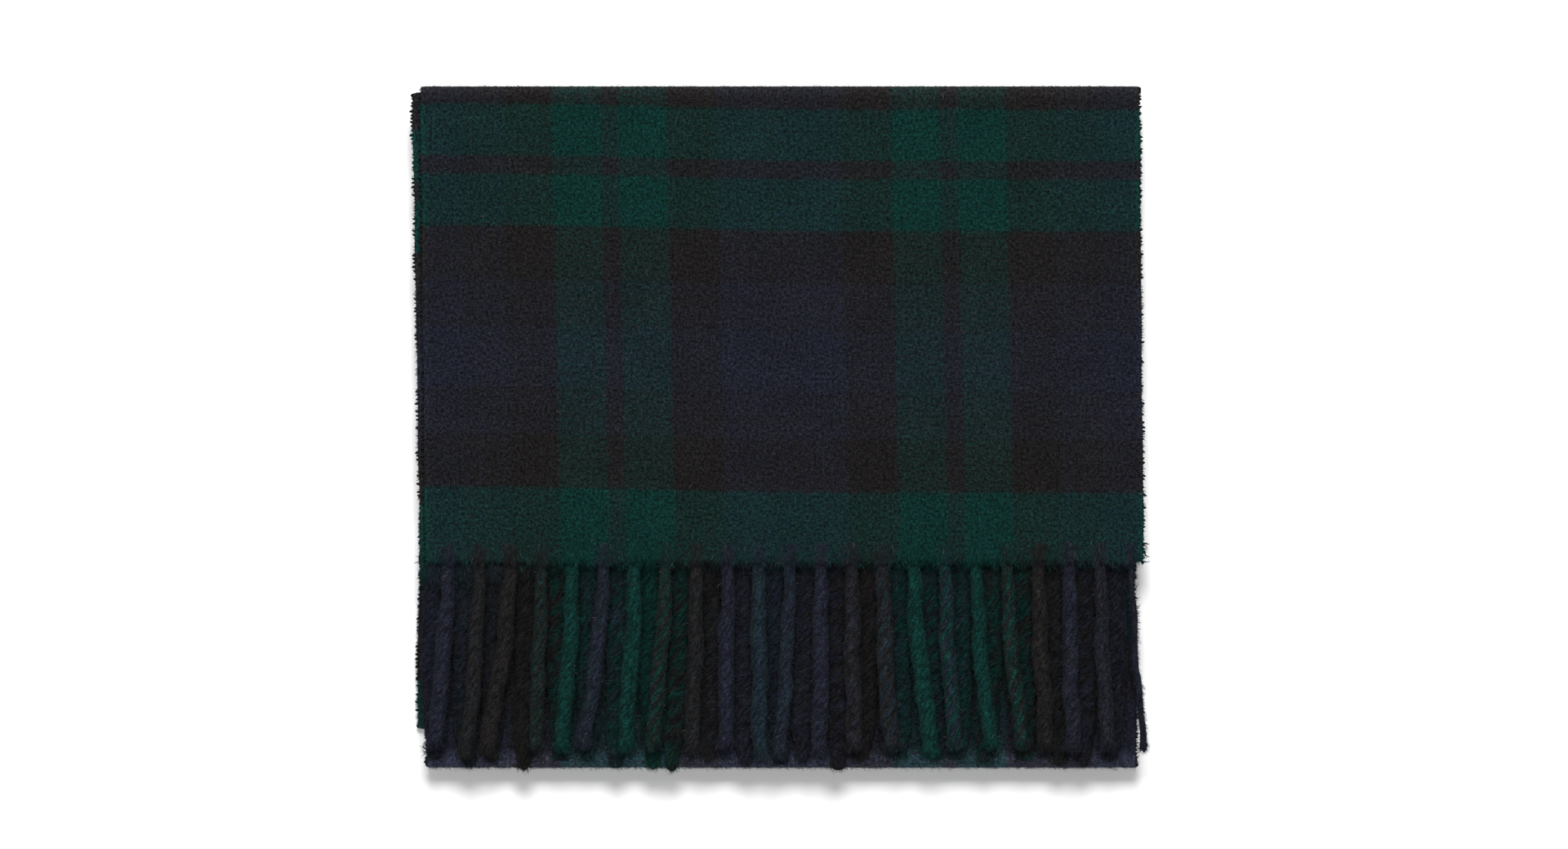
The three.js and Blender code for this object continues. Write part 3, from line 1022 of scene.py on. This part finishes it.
class Tassel:
    """One twisted tassel that follows the middle and the size of its CAD node."""

    def __init__(self, node, fullness, tip_share, trim, above, seed):
        """fullness is its share of the CAD's width, and tip_share the share of that at the tip. trim is the
        least and the most that is cut off the CAD's tip, and above how far it shows above the CAD's root."""
        vertices = np.array([vertex.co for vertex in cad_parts[node].data.vertices]) / MM
        heights = np.unique(vertices[:, 1].round(2))[::-1]
        rings = [vertices[np.abs(vertices[:, 1] - y) < 0.02] for y in heights]
        lows = np.array([ring.min(0) for ring in rings])
        highs = np.array([ring.max(0) for ring in rings])
        self.rows = np.hstack([(lows + highs) / 2, (highs - lows) / 2])
        _, _, self.rest_z, self.full_width, _, self.full_height = self.rows[FULL_RING]
        self.root_y = self.rows[0, 1]
        draw = np.random.default_rng(seed)
        self.length = self.root_y - self.rows[-1, 1] - draw.uniform(*trim)
        self.tip_share = tip_share
        self.above = above
        self.start = draw.uniform(0, math.tau)
        self.pitch = TWIST_PITCH * draw.uniform(0.88, 1.15)
        self.thick = fullness * draw.uniform(0.9, 1.1)
        self.seed = seed

    def middle(self, down):
        """The middle of the tassel, and its half width and height, so far below the root."""
        below = self.root_y - self.rows[:, 1]
        x, z = (np.interp(down, below, self.rows[:, column]) for column in (0, 2))
        width = self.full_width * self.thick * lerp(ROOT_WIDTH, 1.0, smooth(down / FULL_WIDTH) ** 0.8)
        width = width * (1 + UNEVEN * wander(down, UNEVEN_WAVE, self.seed + 1))
        width = width * lerp(1.0, self.tip_share, smooth((down - self.length + 15) / 13))
        height = lerp(0.4, self.full_height * 1.04, smooth((down + 1.0) / 10.0))
        x = x + smooth(down / 12) * SWAY * wander(down, SWAY_WAVE, self.seed)
        return x, z, width, height

    def skin(self, down, angle):
        """Points on the felted skin, at angles round it: soft lobes that run round with the twist."""
        x, z, width, height = self.middle(down)
        twist = self.start + math.tau * down / self.pitch
        lobes = LOBE * smooth(down / 6) * (np.abs(np.cos(PLIES / 2 * (angle - twist))) - 0.64)
        swell = DIMPLE * np.sin(3 * angle + 0.35 * down + self.seed) * np.sin(0.9 * down + 2 * angle)
        end = self.length + TIP_SLANT * np.sin(2 * angle + self.start)
        tip = np.clip((down - end + TIP_ROUND) / TIP_ROUND, 0, 1)
        size = np.sqrt(np.maximum(1 - tip**2, 0.0)) * (1 + lobes + swell)
        y = self.root_y - np.minimum(down, end)
        points = x + width * size * np.cos(angle), y, z + height * size * np.sin(angle)
        return np.stack(np.broadcast_arrays(*points), -1)

    def make(self, name, material, light):
        """light is a gain for the painted light on the tassel: painted highlight on its top and painted shade
        towards its sides.
        """
        body = np.arange(-IN_THE_CLOTH - self.above, self.length - TIP_ROUND - 0.8, TASSEL_STEP)
        tip = self.length + TIP_SLANT - (TIP_ROUND + 2 * TIP_SLANT) * (1 - TIP_RINGS)
        downs = np.concatenate([body, tip])
        angles = math.tau * np.arange(SIDES) / SIDES
        points = self.skin(downs[:, None], angles[None, :])
        last = (len(downs) - 1) * SIDES
        caps = [np.arange(SIDES)[None, ::-1], np.arange(SIDES)[None, :] + last]
        phase = angles[None, :] - self.start - math.tau * downs[:, None] / self.pitch
        along = np.broadcast_to(downs[:, None], phase.shape)
        # painted highlight on the top, painted shade on the sides and over the first 9 mm below the root
        painted_tassel_shading = light * (0.72 + 0.45 * np.sin(angles)) * lerp(0.9, 1.0, smooth(downs / 9))[:, None]
        strand = np.stack([2.6 * np.cos(phase), 2.6 * np.sin(phase) + 9 * self.seed, along], -1)
        return make_mesh(
            name,
            points.reshape(-1, 3),
            [ring_faces(len(downs), SIDES)[:, ::-1], *caps],
            [material],
            numbers={
                "ply": (0.5 + 0.5 * np.sin(PLIES / 2 * phase)).ravel(),
                "painted_tassel_shading": painted_tassel_shading.ravel(),
            },
            vectors={"strand": strand.reshape(-1, 3)},
        )

    def fuzz(self, colours, count, fibres):
        """Fibres raised all round, most of them lying with the twist, and a loose tuft at the tip."""
        down = rng.uniform(-0.5 - self.above, self.length - 0.6, count)
        angle = rng.uniform(0, math.tau, count)
        length = rng.uniform(0.8, 2.8, count)
        turned = angle + rng.uniform(-1.1, 1.6, count) * length / 2.4
        roots = self.skin(down, angle)
        tips = self.skin(down + length * rng.uniform(-0.4, 1.0, count), turned)
        x, z, _, _ = self.middle(down)
        outwards = unit(np.stack([roots[:, 0] - x, np.zeros(count), roots[:, 2] - z], -1))
        tips = tips + outwards * (0.15 + rng.random(count) ** 2 * 1.7)[:, None]
        tips[:, 2] = np.clip(tips[:, 2], None, self.rest_z + self.full_height + 1.0)
        fibres.add(roots, tips, END_FIBRE_RADIUS, either_yarn(colours, count))

        frayed = count // 7
        down = self.length - rng.uniform(0.3, 3.0, frayed)
        angle = rng.uniform(0, math.tau, frayed)
        roots = self.skin(down, angle)
        spread = rng.normal(0, 0.4, (frayed, 3))
        spread[:, 1] = -1.0
        tips = roots + unit(spread) * rng.uniform(1.0, 3.2, frayed)[:, None]
        tips[:, 2] = np.maximum(tips[:, 2], roots[:, 2] - 0.5)
        fibres.add(roots, tips, NAP_RADIUS, either_yarn(colours, frayed))

    def enter(self, cloth, colours, fibres):
        """Fibres of the tassel's colours on the last of the cloth, where the warp turns into the fringe."""
        count = ENTERING_FIBRES
        back = ENTERING * rng.random(count) ** 1.5
        x, _, _, _ = self.middle(0.0)
        spread = self.full_width * rng.normal(0, 0.42, count)
        across = x - cloth.shifts[1][0] + spread
        roots = cloth.point(back, across, HALF)
        slope = rng.normal(0, 0.5, count)
        tips = roots + np.stack([slope, -rng.uniform(1.0, 3.0, count), rng.uniform(0.1, 0.6, count)], 1)
        fibres.add(roots, tips, END_FIBRE_RADIUS, either_yarn(colours, count, ENTERED))


def build_fringe(prefix, cloth, colours, banded, long_ones, shape, light, first_seed, fuzz_count):
    """All tassels of one end of the cloth, and the fibres raised from them. shape is a tassel's fullness and
    its share of that at the tip."""
    body = f"{prefix}_fringe"
    fullness, tip_share = shape
    fibres = Fibres()
    things = []
    for number in range(1, TASSELS + 1):
        node = f"{prefix}_tassel_{number:02d}"
        trim = LONG_TRIM if number in long_ones else SHORT_TRIM
        tassel = Tassel(node, fullness, tip_share, trim, cloth.askew, first_seed + number)
        material = twisted_material(colours[number - 1], number in banded)
        thing = tassel.make(f"{prefix}_twisted_tassel_{number:02d}", material, light)
        tassel.fuzz(colours[number - 1], fuzz_count, fibres)
        tassel.enter(cloth, colours[number - 1], fibres)
        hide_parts(node)
        things.append(thing)
    things.extend(fibres.make(f"{body}_fuzz"))
    for thing in things:
        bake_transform(thing)
    return things


# ---------------- stage


def add_camera():
    """Straight over the middle of the cloth, looking down."""
    data = bpy.data.cameras.new("camera")
    data.lens = 90
    data.sensor_width = 36
    data.clip_end = 20
    bpy.context.scene.camera = add_object("camera", data, (0.001, 0.001, 1.3795))


def add_light(name, place, size, power):
    """A square light that shines on the middle of the cloth."""
    data = bpy.data.lights.new(name, "AREA")
    data.shape = "SQUARE"
    data.size = size
    data.energy = power
    light = add_object(name, data, place)
    light.rotation_euler = (-light.location).to_track_quat("-Z", "Y").to_euler()


FLOOR_SIZE = 6.0
FLOOR_SHADE = 0.84


def add_stage():
    """A plain pale floor, a soft light from beyond the top crease and an even fill."""
    mesh = bpy.data.meshes.new("floor")
    corners = [(x * FLOOR_SIZE, y * FLOOR_SIZE, 0) for x, y in ((-1, -1), (1, -1), (1, 1), (-1, 1))]
    mesh.from_pydata(corners, [], [(0, 1, 2, 3)])
    floor = add_object("floor", mesh)
    white = bpy.data.materials.new("floor_white")
    white.use_nodes = True
    shading = white.node_tree.nodes["Principled BSDF"].inputs
    shading["Base Color"].default_value = (FLOOR_SHADE, FLOOR_SHADE, FLOOR_SHADE, 1)
    shading["Roughness"].default_value = 0.9
    mesh.materials.append(white)
    world = bpy.data.worlds.new("studio")
    world.use_nodes = True
    sky = world.node_tree.nodes["Background"].inputs
    sky["Color"].default_value = (1.0, 1.0, 1.0, 1)
    sky["Strength"].default_value = 0.305
    bpy.context.scene.world = world
    bpy.context.scene.view_settings.view_transform = "Standard"
    add_light("key", place=(0.05, 1.22, 1.7), size=0.8, power=61.5)
    add_light("front_fill", place=(-0.3, -2.0, 0.52), size=1.2, power=42)


# ---------------- assembly


def main():
    add_camera()
    add_stage()

    cloths = build_cloths()
    names = ("first_end_cloth", "second_end_cloth", "inner_turn_cloth", "outer_turn_cloth", "middle_cloth")
    stretches = [cloth.make(name) for cloth, name in zip(cloths, names)]
    first_cloth, second_cloth, inner_cloth, outer_cloth, middle_cloth = stretches
    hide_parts("top_flap_upper_cloth", "second_panel_lower_cloth")
    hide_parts("top_flap_lower_cloth", "second_panel_upper_cloth")
    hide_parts("third_panel_upper_cloth", "second_panel_lower_cloth")
    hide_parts("third_panel_lower_cloth", "second_panel_upper_cloth")
    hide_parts("base_panel_cloth", "third_panel_upper_cloth", "third_panel_lower_cloth")
    bend_at(first_cloth)
    bend_at(second_cloth)
    bend_at(inner_cloth)
    bend_at(outer_cloth)
    bend_at(middle_cloth)

    naps = {body: Fibres() for body in BODIES}
    edges = Edges()
    raise_all(cloths, naps, edges)
    trims = {}
    for body in BODIES:
        trims[body] = [*naps[body].make(f"{body}_nap"), edges.make(body)]
        for thing in trims[body]:
            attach(thing, body)

    top_look = {"shape": (0.9, 0.95), "light": 1.0, "first_seed": 100, "fuzz_count": 1900}
    # painted shade: the under tassels are painted darker, as if shaded by the top tassels over them
    under_look = {"shape": (1.5, 0.6), "light": 0.52, "first_seed": 200, "fuzz_count": 1000}
    top_tassels = build_fringe("top", cloths[0], TOP_COLOURS, TOP_BANDED, (), **top_look)
    under_tassels = build_fringe("under", cloths[1], UNDER_COLOURS, (), UNDER_LONG, **under_look)


main()
